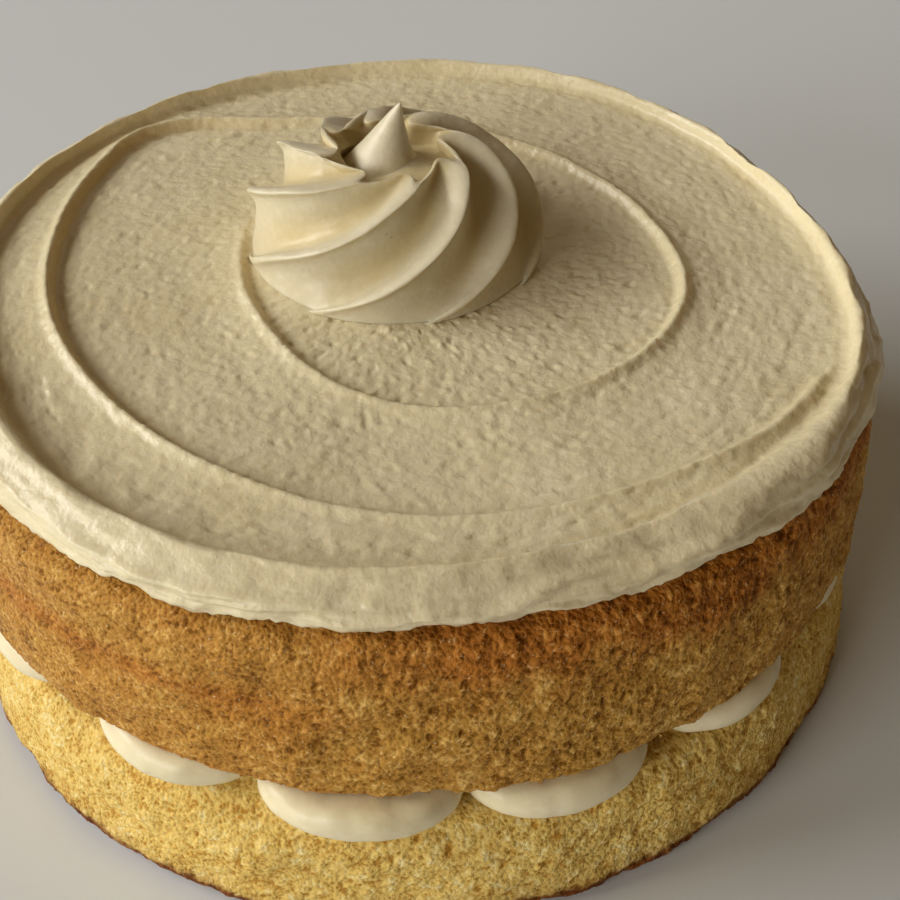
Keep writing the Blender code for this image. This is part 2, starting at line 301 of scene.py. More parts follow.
def make_icing(material):
    low, crest = ICING_LOW, ICING_CREST
    profile = icing_section()
    piece, places = skin("icing", len(profile), ICING_AROUND)
    angles = np.arange(ICING_AROUND) * 2 * math.pi / ICING_AROUND
    radius = np.repeat(profile[:, :1], ICING_AROUND, axis=1)
    height = np.repeat(profile[:, 1:], ICING_AROUND, axis=1)
    radius = radius + waves(angles)[None, :] * np.clip((radius - 60) / 11, 0, None)
    pushed = step_between(57, 65, radius)
    pushed *= np.where(height > low + 3, 1 - step_between(69.0, 71.4, radius), 0)
    radius = radius - rim_inset(angles)[None, :] * pushed
    x = radius * np.cos(angles)
    y = radius * np.sin(angles)
    spots = np.column_stack([x.reshape(-1), y.reshape(-1)])
    upper = (height > low + 3.8).reshape(-1)
    line = ridge_line()
    rise = np.zeros(len(spots))
    for part in halves(line):
        distance, tall = beside(part, spots[upper])
        rise[upper] = np.maximum(rise[upper], ridge_height(distance, tall))
    reach = radius.reshape(-1)
    tall_at = height.reshape(-1)
    from_crest = reach - np.tile(crest_reach(angles), len(profile))
    inside_rim = 1 - step_between(-3.4, -0.6, from_crest)
    rise *= inside_rim
    points = np.column_stack([spots, tall_at + rise])
    turn = np.tile(angles, len(profile))

    # The top sinks and swells a little where the knife turned, and shows its faint strokes.
    on_top = upper & (reach < 69)
    flat = np.column_stack([spots, np.zeros(len(spots))])
    swirl = np.column_stack([reach, 14 * np.cos(turn), 14 * np.sin(turn)])
    gentle = 0.30 * lumps(flat, 26, 3.1) + 0.10 * lumps(flat, 9, 7.7)
    strokes = 0.03 * lumps(swirl, 2.6, 1.9)
    # Near the rim at the front left the knife dragged the cream into dimples.
    own = np.repeat(profile[:, 0], ICING_AROUND)
    front_left = step_between(60, 20, degrees_off(np.degrees(turn), DIMPLED_SIDE))
    strokes += 0.24 * lumps(flat, 2.9, 4.6) * step_between(54, 60, own) * front_left
    points[:, 2] += np.where(on_top, (gentle + strokes) * (1 - step_between(63.5, 67.5, own)), 0)

    # The rim's crest wanders, with a few nicks.
    round_rim = np.column_stack([60 * np.cos(turn), 60 * np.sin(turn), 0 * turn])
    near_crest = step_between(61, 66, reach) * step_between(low + 3.0, low + 5.4, tall_at)
    points[:, 2] += near_crest * (0.28 * lumps(round_rim, 13, 8.2) + 0.12 * lumps(round_rim, 4.5, 6.1))

    # The band round the side: folds and creases that run level, and a thin lower edge that wanders.
    on_side = (from_crest > 0.4) & (tall_at < crest)
    banded = np.column_stack([66 * np.cos(turn), 66 * np.sin(turn), 4.2 * tall_at])
    creased = np.column_stack([30 * np.cos(turn), 30 * np.sin(turn), 4.0 * tall_at])
    fold = 0.55 * lumps(banded, 11, 2.2) + 0.34 * lumps(banded, 5.2, 5.5) + 0.30 * lumps(creased, 2.8, 9.2)
    drop = 0.8 * lumps(round_rim, 10, 3.7) + 0.45 * lumps(round_rim, 4.0, 1.2)
    drop += 0.4 * lumps(round_rim, 1.3, 6.6)
    hang = np.clip((low + 4.4 - tall_at) / 4.4, 0, 1)
    outward = np.where(on_side, fold, 0)
    points[:, 0] += np.cos(turn) * outward
    points[:, 1] += np.sin(turn) * outward
    points[:, 2] += np.where(reach > 68, (drop + 0.45) * hang, 0) * step_between(66, 70, reach)
    put(piece, places, points.reshape(len(profile), ICING_AROUND, 3))
    where = points_of(piece)
    push(piece, set_skin(where))
    # Painted shade below the steep sides of the ridge and the rim, kept as "deep".
    remember(piece, "deep", painted_lee_shade(where, line))
    finish(piece, material, "buttercream_top")


def set_skin(where):
    """How far the skin of set buttercream stands out: fine grain, a few lumps and burst bubbles."""
    low = ICING_LOW
    shown = (where[:, 2] > low + 0.4) & (reach_of(where) > PLAIN_MIDDLE)
    tops = where[shown]
    turn = turn_of(tops)
    away = reach_of(tops)
    drawn = np.column_stack([away, 12 * np.cos(turn), 12 * np.sin(turn)])
    grain = 0.04 * lumps(drawn, 1.6, 2.8) + 0.08 * lumps(tops, 1.3, 6.3) + 0.04 * lumps(tops, 0.75, 3.3)
    specks = lumps(tops, 1.3, 9.9)
    grain += 0.20 * step_between(0.66, 0.95, specks) - 0.16 * step_between(0.66, 0.95, -specks)
    # The lower part of the band drags on the sponge, so it is rougher and ragged.
    dragged = step_between(low + 3.0, low + 0.8, tops[:, 2])
    grain += dragged * (0.16 * lumps(tops, 1.1, 3.9) + 0.10 * lumps(tops, 0.6, 7.1))
    grain *= 1 - 0.6 * step_between(1.5, 0.5, np.abs(away - crest_reach(turn)))
    amount = np.zeros(len(where))
    amount[shown] = grain
    return amount


def painted_lee_shade(where, line):
    """Painted shade: where the cream lies below the steep inner side of the ridge or the rim, it is painted
    warmer and darker: 1 at a steep side's foot.
    """
    angles = turn_of(where)
    from_crest = reach_of(where) - crest_reach(angles)
    deep = step_between(-4.0, -1.6, from_crest) * step_between(-0.2, -1.2, from_crest)
    for part in halves(line):
        distance, tall = beside(part, where[:, :2])
        near = step_between(-3.0, -1.0, distance) * step_between(0.0, -0.5, distance)
        deep = np.maximum(deep, near * np.clip(tall / 1.6, 0, 1))
    # The shade is painted only on the slopes that face away from the window.
    at_window = step_between(75, 30, degrees_off(np.degrees(angles), WINDOW_SIDE))
    return deep * (where[:, 2] > ICING_LOW + 3) * (0.15 + 0.85 * at_window)


# The rosette: one turn of a star nozzle, whose ridges lean over and close towards the tip

ROSETTE_RIDGES = 8
ROSETTE_START = math.radians(-119)
ROSETTE_GAP = 0.3  # as between the other pieces
# Distance from the middle, height, degrees turned and depth of the crease, from the foot up.
ROSETTE_RIDGE = [
    (24.2, 0, 0, 0.8), (24.3, 2.2, 12, 2.5), (23.9, 4.7, 25, 4.8), (23.0, 7.4, 37, 5.8),
    (21.5, 10.0, 49, 6.4), (19.2, 12.6, 62, 6.6), (16.4, 14.9, 75, 6.2), (13.8, 16.3, 88, 5.0),
    (11.8, 16.7, 99, 3.4), (10.2, 16.0, 108, 2.0), (9.1, 14.4, 114, 1.0), (8.3, 13.0, 118, 0.5),
]  # fmt: skip
# The tip, pulled up and away: radius and height, from the hollow round its foot.
ROSETTE_TIP = [
    (7.8, 12.5), (7.4, 12.2), (6.7, 12.9), (5.6, 14.6), (4.5, 16.4), (3.3, 18.3), (2.3, 20.0), (1.5, 21.5),
    (0.9, 22.8), (0.4, 23.8), (0.12, 24.3),
]  # fmt: skip
# The tip leans: its foot lies to the left of the rosette's middle, and its end to the right.
TIP_FOOT_SHIFT = -1.5
TIP_END_SHIFT = 1.1
# The ridges stand steeper at the rosette's left side.
LEFT_SIDE = 185
LEFT_LIFT = 3.0
# The ridges run into the tip's foot on this side, and leave a hollow behind it on the other.
FILLED_SIDE = -40
HOLLOW_FLOOR = 11.6
FILLED_FLOOR = 15.9
TURNED_IN = 104  # degrees turned, past which a ridge lies on the hollow's floor
ROSETTE_FINE = 10
# One ridge in section: its rolled lip, a long hollow face, and the next lip, which leans back over it.
# Share of the way to the next lip and share of the crease's depth.
SECTION = [
    (-0.058, 0.03), (-0.036, 0.0), (-0.010, 0.01), (0.014, 0.06), (0.04, 0.14), (0.08, 0.24),
    (0.13, 0.33), (0.20, 0.42), (0.28, 0.51), (0.36, 0.60), (0.44, 0.69), (0.52, 0.78),
    (0.60, 0.86), (0.68, 0.93), (0.76, 0.98), (0.83, 1.0), (0.89, 0.98), (0.935, 0.90),
    (0.955, 0.76), (0.950, 0.60), (0.935, 0.44), (0.922, 0.29), (0.918, 0.17), (0.926, 0.08),
]  # fmt: skip


def floor_height(angle):
    """The hollow's floor, which rises to where the ridges run into the tip's foot."""
    share = 0.5 + 0.5 * math.cos(angle - math.radians(FILLED_SIDE))
    return HOLLOW_FLOOR + (FILLED_FLOOR - HOLLOW_FLOOR) * share


def make_rosette(material):
    ridge = smooth_through(ROSETTE_RIDGE, ROSETTE_FINE)
    foot = Vector((*ROSETTE_CENTRE, ICING_TOP + ROSETTE_GAP))
    around = ROSETTE_RIDGES * len(SECTION)
    rings = []
    # Two flat rows close the foot underneath.
    rows = [(0.5, -0.2, 0, 0.0), (22.5, -0.2, 0, 0.6), *ridge.tolist()]
    painted_shade_rows = []
    last_turn = math.radians(rows[-1][2])
    for radius, height, turn, deep in rows:
        ring = []
        for index in range(around):
            number, part = divmod(index, len(SECTION))
            share, sunk = SECTION[part]
            share += (part / len(SECTION) - share) * step_between(100, 112, turn)
            angle = ROSETTE_START + math.radians(turn) + 2 * math.pi * (number + share) / ROSETTE_RIDGES
            away = max(0.1, radius - deep * sunk)
            lean = TIP_FOOT_SHIFT * step_between(12.5, 17, height) * step_between(14, 9, radius)
            off_left = (math.degrees(angle) - LEFT_SIDE + 180) % 360 - 180
            steep = math.exp(-((off_left / 42) ** 2)) * step_between(0.5, 6, height)
            lift = LEFT_LIFT * steep * (1 - 0.55 * step_between(12.5, 16.5, height))
            raised = height + lift
            if turn > TURNED_IN:
                raised = max(raised, floor_height(angle) - 0.05 * away)
            ring.append((away * math.cos(angle) + lean, away * math.sin(angle), raised))
        rings.append(ring)
        # Painted shade: golden in the creases, and all over in the hollow round the tip's foot.
        hollow = step_between(98, 108, turn)
        sinks = [SECTION[index % len(SECTION)][1] for index in range(around)]
        painted_shade_rows.append([max(hollow, min(1.0, deep / 5) * sunk**3) for sunk in sinks])
    for step, (radius, height) in enumerate(smooth_through(ROSETTE_TIP, 4).tolist()):
        ring = []
        way = min(1, max(0, (height - ROSETTE_TIP[0][1]) / (ROSETTE_HEIGHT - ROSETTE_TIP[0][1])))
        lean = TIP_FOOT_SHIFT + (TIP_END_SHIFT - TIP_FOOT_SHIFT) * way**2.2
        for index in range(around):
            number, part = divmod(index, len(SECTION))
            share = part / len(SECTION)
            angle = ROSETTE_START + last_turn + math.radians(1.2 * step)
            angle += 2 * math.pi * (number + share) / ROSETTE_RIDGES
            away = max(0.02, radius * (1 + 0.09 * math.cos(angle - 2.6 - 3.4 * way)))
            raised = max(height, floor_height(angle) - 0.05 * away) if height < FILLED_FLOOR else height
            ring.append((away * math.cos(angle) + lean, away * math.sin(angle), raised))
        rings.append(ring)
        # Painted shade on the tip's foot, fading out a third of the way up.
        painted_shade_rows.append([1 - min(1, way * 3)] * around)
    points = np.array(rings) + np.array(foot)
    piece, places = skin("rosette", len(points), around)
    put(piece, places, points)
    where = points_of(piece)
    grain = 0.05 * lumps(where, 2.4, 6.7) + 0.12 * lumps(where, 7, 1.7)
    push(piece, grain * step_between(60.6, 61.6, where[:, 2]))
    depth = np.zeros(len(where))
    depth[places.reshape(-1)] = np.array(painted_shade_rows).reshape(-1)
    remember(piece, "deep", depth)
    finish(piece, material, "buttercream_rosette")


# The cream between the sponges: dollops from a plain nozzle, pressed flat by the upper sponge

# Middle in degrees, half width in degrees and reach past the sponge in millimetres, from left to right.
SHOWN_DOLLOPS = [
    (-141.6, 10.6, 1.5), (-116.6, 10.8, 2.2), (-93.9, 11.6, 4.6), (-71.4, 11.0, 3.8), (-48.0, 10.4, 2.3),
]  # fmt: skip
DOLLOP_COUNT = 16
DOLLOP_INNER = 46.0
DOLLOP_CAP = 9.0
DOLLOP_BULGE = 2.9
DOLLOP_LOW = 22.8
DOLLOP_HIGH = 28.7
DOLLOP_AROUND = 112
DOLLOP_LEVELS = 26


def dollop_places():
    """The same three numbers for all the dollops, as in the part's source."""
    found = list(SHOWN_DOLLOPS)
    chance = random.Random(11)
    start = found[-1][0] + found[-1][1]
    end = found[0][0] - found[0][1] + 360
    hidden = DOLLOP_COUNT - len(found)
    step = (end - start) / hidden
    for index in range(hidden):
        middle = start + step * (index + 0.5) + chance.uniform(-0.4, 0.4)
        half = step / 2 - chance.uniform(0.5, 1.6)
        found.append((middle, half, chance.uniform(-0.4, 0.8)))
    return found


def dollop_ring(middle, half, arc, inside):
    """One level of a dollop: a wedge whose outer side is a round arc."""
    ring = []
    for index in range(DOLLOP_AROUND):
        turn = 2 * math.pi * index / DOLLOP_AROUND
        c, s = math.cos(turn), math.sin(turn)
        if c > 0:
            radius, across = arc + DOLLOP_CAP * c, s
        else:
            radius = arc - (arc - DOLLOP_INNER) * abs(c) ** 0.45
            across = math.copysign(abs(s) ** 0.45, s)
        width = min(radius, arc) * math.tan(math.radians(half)) - 0.15 - inside
        radius -= inside if c > 0 else 0
        x, y = radius, across * max(width, 0.5)
        a = math.radians(middle)
        ring.append((x * math.cos(a) - y * math.sin(a), x * math.sin(a) + y * math.cos(a)))
    return ring


def make_dollops(material):
    for number, (middle, half, reach) in enumerate(dollop_places(), 1):
        arc = SPONGE_RADIUS + reach - DOLLOP_CAP
        rings = []
        for level in range(DOLLOP_LEVELS):
            tilt = math.pi * level / (DOLLOP_LEVELS - 1)
            inside = DOLLOP_BULGE * (1 - math.sin(tilt) ** 0.8)
            z = DOLLOP_LOW + (DOLLOP_HIGH - DOLLOP_LOW) * (1 - math.cos(tilt)) / 2
            rings.append([(x, y, z) for x, y in dollop_ring(middle, half, arc, inside)])
        middle_low = np.array(rings[0]).mean(axis=0)
        middle_high = np.array(rings[-1]).mean(axis=0)
        ends = [[end.tolist()] * DOLLOP_AROUND for end in (middle_low, middle_high)]
        points = np.array([ends[0], *rings, ends[1]])
        piece, places = skin(f"dollop_{number:02d}", len(points), DOLLOP_AROUND)
        put(piece, places, points)
        where = points_of(piece)
        soft = 0.14 * lumps(where, 6, number * 1.3) + 0.09 * lumps(where, 2.4, number * 2.1, (1, 1, 1.8))
        away = reach_of(where)
        push(piece, soft * step_between(60, 66, away))
        # Painted shade, warmer and darker, where the dollop runs in between the sponges.
        remember(piece, "deep", step_between(73, 66, away))
        finish(piece, material, f"cream_dollop_{number:02d}")


# The sponges: baked crumb, torn and fluffy where the tin's paper came away

UPPER_EDGE = 75.6
UPPER_AROUND = 1120
LOWER_EDGE = 77.6
LOWER_AROUND = 1060
# Where the crust is smoothest, where it is glazed, and where it is reddest under the icing.
SMOOTH_SIDE = 210
GLAZED_SIDE = 218
RED_SIDE = -32


def sponge_waves(points, seed):
    """The slow wander of a sponge's wall, as in the part's source."""
    turn = turn_of(points)
    wall = np.clip((reach_of(points) / SPONGE_RADIUS - 0.92) / 0.08, 0, None)
    slow, crag = [], []
    for angle, height in zip(turn.tolist(), points[:, 2].tolist()):
        ring = Vector((math.cos(2 * angle), math.sin(2 * angle), 0))
        slow.append(noise.noise(ring * 0.7 + Vector((seed, 0, height / 25))))
        crag.append(noise.noise(ring * 4.5 + Vector((seed, 4, height / 7))))
    return wall * (0.7 * np.array(slow) + 0.45 * np.array(crag))


def sponge_skin(name, profile, spacing, around, seed):
    lined = along(profile, spacing)
    lined[1:-1] = rounded(lined)[1:-1]
    piece, places = skin(name, len(lined), around)
    angles = np.arange(around) * 2 * math.pi / around
    radius = np.repeat(lined[:, :1], around, axis=1)
    height = np.repeat(lined[:, 1:], around, axis=1)
    points = np.stack([radius * np.cos(angles), radius * np.sin(angles), height], axis=2)
    flat = points.reshape(-1, 3)
    wander = sponge_waves(flat, seed)
    turn = turn_of(flat)
    flat[:, 0] += wander * np.cos(turn)
    flat[:, 1] += wander * np.sin(turn)
    put(piece, places, flat.reshape(len(lined), around, 3))
    return piece


def coarse_share(where):
    """How torn the crumb is: smooth crust at the left, open crumb at the front and right."""
    left = np.clip(1 - degrees_off(np.degrees(turn_of(where)), SMOOTH_SIDE) / 75, 0, 1)
    return 1 - 0.62 * left


def crumb(piece, size, depth, seed, shown, rough):
    """Pushes a sponge's skin into pores between ragged walls. It keeps how hollow each point is, for the
    painted shade in the pores, and how torn it is.
    """
    where = points_of(piece)[shown]
    rough = rough[shown]
    bent = where + 0.35 * size * np.column_stack([lumps(where, size * 1.7, seed + k) for k in (1, 2, 3)])
    big, chance = cells(bent, size * 1.7, seed)
    small, chance_small = cells(bent, size, seed + 4)
    torn = step_between(0.55, 0.95, coarse_share(where))
    open_big = step_between(0.55, 0.85, chance) * step_between(0.15, 0.65, big) * (0.5 + 1.1 * torn)
    open_small = step_between(0.10, 0.5, chance_small) * step_between(0.12, 0.6, small)
    ragged = 0.45 * lumps(where, size * 2.6, seed + 5) + 0.45 * lumps(where, size * 1.3, seed + 6)
    ragged += 0.45 * torn * lumps(where, size * 1.9, seed + 7)
    swell = lumps(where, size * 7, seed + 8)
    fibre = 0.5 * lumps(where, size * 0.5, seed + 9)
    relief = -0.45 * open_big - 0.55 * open_small + 0.5 * ragged + 0.35 * fibre
    amount = np.zeros(len(shown))
    amount[shown] = depth * rough * relief + 0.30 * swell
    # How hollow each point is: the material paints shade into the hollows.
    hollow = np.zeros(len(shown))
    hollow[shown] = np.clip(0.42 - 0.55 * relief, 0, 1)
    push(piece, amount)
    remember(piece, "hollow", hollow)
    remember(piece, "torn", step_between(0.4, 1.0, coarse_share(points_of(piece))))


def make_upper_sponge(material):
    low, top, edge = UPPER_BOTTOM, UPPER_TOP, UPPER_EDGE
    profile = [(0, low), (edge - 7, low), (edge - 0.9, low), (edge, low + 0.9), (edge + 0.2, low + 5),
               (edge, low + 10), (edge - 0.4, low + 15), (edge - 1, low + 20), (edge - 1.8, top - 3.2),
               (edge - 3.2, top - 0.8), (edge - 6, top), (0, top)]  # fmt: skip
    spacing = [20, 1.0] + [0.42] * 7 + [0.8, 20]
    piece = sponge_skin("upper_sponge_crumb", profile, spacing, UPPER_AROUND, 8.1)
    where = points_of(piece)
    shown = reach_of(where) > 70
    low_edge = step_between(low + 2.4, low, where[:, 2])
    rough = coarse_share(where) * (1 + 0.7 * low_edge)
    crumb(piece, 0.80, 0.52, 3.3, shown, rough)
    browned(piece, low, top)
    finish(piece, material, "upper_sponge")


def browned(piece, low, top):
    """Keeps how browned each point of the upper sponge is, and where it is glazed."""
    where = points_of(piece)
    share = np.clip((where[:, 2] - low) / (top - low), 0, 1)
    turn = np.degrees(turn_of(where))
    right = step_between(75, 35, degrees_off(turn, RED_SIDE))
    left = step_between(70, 25, degrees_off(turn, GLAZED_SIDE))
    blotch = 0.5 * lumps(where, 14, 5.6) + 0.35 * lumps(where, 5, 2.2) + 0.25 * lumps(where, 2.0, 8.8)
    under_icing = step_between(0.62 - 0.05 * right, 0.92, share + 0.10 * blotch)
    # At the left a glazed golden band runs below the icing, with a redder strip under it.
    strip = np.exp(-(((share - 0.60 + 0.03 * blotch) / 0.085) ** 2))
    glaze = left * step_between(0.64, 0.72, share + 0.06 * blotch) * step_between(0.98, 0.86, share)
    foot_line = step_between(0.09, 0.0, share + 0.04 * blotch)
    value = 0.36 - 0.26 * right + (0.30 - 0.10 * right) * blotch
    value += under_icing * (0.22 * (1 - left) + 0.86 * right)
    value += 0.45 * left * strip - 0.15 * glaze + 0.35 * foot_line * (1 - right)
    remember(piece, "browning", np.clip(value, 0, 1))
    remember(piece, "glaze", glaze)


def make_lower_sponge(material):
    edge = LOWER_EDGE
    profile = [(0, 0), (edge - 8, 0), (edge - 1.8, 0), (edge - 0.4, 0.8), (edge, 2.6),
               (edge - 0.3, 7), (edge - 0.7, 12), (edge - 1.0, 16), (edge - 1.9, 19), (edge - 3.8, 21.5),
               (edge - 8, LOWER_TOP), (60, LOWER_TOP), (0, LOWER_TOP)]  # fmt: skip
    spacing = [20, 1.2] + [0.44] * 8 + [0.6, 20]
    piece = sponge_skin("lower_sponge_crumb", profile, spacing, LOWER_AROUND, 2.7)
    where = points_of(piece)
    away = reach_of(where)
    shown = (away > 60.5) & (where[:, 2] > 0.3)
    on_ledge = step_between(73, 69, away)
    rough = (0.75 + 0.25 * coarse_share(where)) * (1 - 0.7 * on_ledge)
    crumb(piece, 0.85, 0.50, 5.9, shown, rough)
    # Nothing goes below the floor, or into the cream that stands on the ledge.
    co = points_of(piece)
    co[:, 2] = np.maximum(co[:, 2], 0)
    inner = reach_of(co) < 70.5
    co[:, 2] = np.where(inner & (co[:, 2] > 20), np.minimum(co[:, 2], LOWER_TOP), co[:, 2])
    set_points(piece, co)
    # The crust line round the foot, and a faint browning above it.
    blotch = 0.5 * lumps(co, 12, 3.6) + 0.35 * lumps(co, 4, 6.2) + 0.3 * lumps(co, 1.6, 1.8)
    foot = 0.72 * step_between(4.0, 2.2, co[:, 2] + 1.0 * blotch)
    foot += 0.28 * step_between(8.0, 1.5, co[:, 2] + 2.5 * blotch)
    remember(piece, "browning", np.clip(foot, 0, 1))
    finish(piece, material, "lower_sponge")


def scattered(count, seed, low, high, near, far):
    """Random spots on a ring round the cake."""
    chance = random.Random(seed)
    found = []
    for _ in range(count):
        angle = chance.uniform(0, 2 * math.pi)
        away = chance.uniform(near, far)
        found.append((away * math.cos(angle), away * math.sin(angle), chance.uniform(low, high)))
    return found


def make_crumbs(name, material, spots, sizes, seed):
    """Loose crumbs as one mesh, each a few squashed and knocked faces."""
    chance = random.Random(seed)
    form = bmesh.new()
    for spot in spots:
        size = chance.uniform(*sizes) * MM
        turn = Matrix.Rotation(chance.uniform(0, 6.28), 4, Vector((chance.random(), chance.random(), 0.5)))
        wide, long, tall = chance.uniform(0.7, 1.3), chance.uniform(0.7, 1.3), chance.uniform(0.5, 0.9)
        squash = Matrix.Diagonal((wide, long, tall, 1))
        place = Matrix.Translation(Vector(spot) * MM) @ turn @ squash
        made = bmesh.ops.create_icosphere(form, subdivisions=1, radius=size, matrix=place)
        for vertex in made["verts"]:
            vertex.co += Vector([chance.uniform(-0.25, 0.25) * size for _ in range(3)])
    mesh = bpy.data.meshes.new(name)
    form.to_mesh(mesh)
    form.free()
    piece = bpy.data.objects.new(name, mesh)
    bpy.context.scene.collection.objects.link(piece)
    remember(piece, "hollow", np.full(len(mesh.vertices), 0.35))
    remember(piece, "browning", np.full(len(mesh.vertices), 0.3))
    piece.data.materials.append(material)
    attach(piece, "root")


# Materials


def linear(code):
    """An sRGB hex colour as linear red, green, blue and 1."""
    parts = [int(code[k : k + 2], 16) / 255 for k in (1, 3, 5)]
    return (*(p / 12.92 if p <= 0.04045 else ((p + 0.055) / 1.055) ** 2.4 for p in parts), 1.0)


def node(tree, kind, settings=None, inputs=None):
    """Adds a node. An input given as a socket is linked, and any other is set."""
    made = tree.nodes.new(kind)
    for name, value in (settings or {}).items():
        setattr(made, name, value)
    for name, value in (inputs or {}).items():
        if isinstance(value, bpy.types.NodeSocket):
            tree.links.new(value, made.inputs[name])
        else:
            made.inputs[name].default_value = value
    return made


def material_of(name, shader_inputs):
    material = bpy.data.materials.new(name)
    material.use_nodes = True
    tree = material.node_tree
    tree.nodes.clear()
    output = node(tree, "ShaderNodeOutputMaterial")
    shader = node(tree, "ShaderNodeBsdfPrincipled", inputs=shader_inputs)
    tree.links.new(shader.outputs["BSDF"], output.inputs["Surface"])
    place = node(tree, "ShaderNodeTexCoord").outputs["Object"]
    return material, tree, shader, place


def ramp(tree, value, stops):
    made = node(tree, "ShaderNodeValToRGB", inputs={"Fac": value})
    made.color_ramp.interpolation = "EASE"
    while len(made.color_ramp.elements) < len(stops):
        made.color_ramp.elements.new(0.5)
    for element, (place, code) in zip(made.color_ramp.elements, stops):
        element.position = place
        element.color = linear(code)
    return made.outputs["Color"]


def mixed(tree, share, first, second):
    """A mix of two colours, each a socket or a fixed colour."""
    made = node(tree, "ShaderNodeMix", {"data_type": "RGBA"}, {0: share})
    for socket, value in ((made.inputs[6], first), (made.inputs[7], second)):
        if isinstance(value, bpy.types.NodeSocket):
            tree.links.new(value, socket)
        else:
            socket.default_value = value
    return made.outputs[2]


def maths(tree, operation, first, second=0.0, third=0.0, clamp=False):
    settings = {"operation": operation, "use_clamp": clamp}
    return node(tree, "ShaderNodeMath", settings, {0: first, 1: second, 2: third}).outputs[0]


def texture(tree, place, size_mm, detail=2.0, roughness=0.5):
    """Noise whose lumps are about this many millimetres across."""
    settings = {"Vector": place, "Scale": 1 / (size_mm * MM), "Detail": detail, "Roughness": roughness}
    return node(tree, "ShaderNodeTexNoise", inputs=settings).outputs["Fac"]


def kept(tree, name):
    """A number that remember() kept for each point."""
    return node(tree, "ShaderNodeAttribute", {"attribute_name": name}).outputs["Fac"]


def bumped(tree, shader, height, depth_mm):
    settings = {"Height": height, "Distance": depth_mm * MM, "Strength": 1.0}
    made = node(tree, "ShaderNodeBump", inputs=settings)
    tree.links.new(made.outputs["Normal"], shader.inputs["Normal"])


def stepped(tree, value, low, high):
    """0 below low, 1 above high, and smooth between."""
    settings = {"Value": value, "From Min": low, "From Max": high}
    return node(tree, "ShaderNodeMapRange", {"interpolation_type": "SMOOTHSTEP"}, settings).outputs["Result"]


SEED_APART_MM = 3.6
SEED_COLOUR = "#6B5230"
PORE_MM = 0.7


def buttercream(name, stops, shade_colour, roughness, speck_amount, grain_mm):
    """Whipped butter and sugar: pale cream with light passing just under its skin.

    It has a satin face where the knife or nozzle smoothed it, and tiny dark seeds of vanilla."""
    material, tree, shader, place = material_of(
        name,
        {"Roughness": roughness, "IOR": 1.45, "Subsurface Weight": 0.25, "Subsurface Scale": 0.0015,
         "Subsurface Radius": (1.0, 0.8, 0.5), "Specular IOR Level": 0.45},
    )  # fmt: skip
    wide = texture(tree, place, 11, 3)
    fine = texture(tree, place, 1.1, 3)
    tone = maths(tree, "MULTIPLY_ADD", fine, 0.45, maths(tree, "MULTIPLY", wide, 0.55))
    colour = ramp(tree, tone, stops)
    # Painted shade: a warmer, darker colour mixed in where "deep" is kept.
    colour = mixed(tree, maths(tree, "MULTIPLY", kept(tree, "deep"), 0.55), colour, linear(shade_colour))
    apart = {"Vector": place, "Scale": 1 / (SEED_APART_MM * MM)}
    seeds = node(tree, "ShaderNodeTexVoronoi", {"feature": "F1"}, apart)
    near = maths(tree, "LESS_THAN", seeds.outputs["Distance"], 0.05)
    few = maths(tree, "LESS_THAN", texture(tree, place, 6, 1), 0.52)
    dark = maths(tree, "MULTIPLY", maths(tree, "MULTIPLY", near, few), speck_amount)
    colour = mixed(tree, dark, colour, linear(SEED_COLOUR))
    tree.links.new(colour, shader.inputs["Base Color"])
    height = maths(tree, "MULTIPLY_ADD", texture(tree, place, 0.8, 3, 0.6), 0.5, texture(tree, place, 2.0, 2))
    bumped(tree, shader, height, grain_mm)
    return material


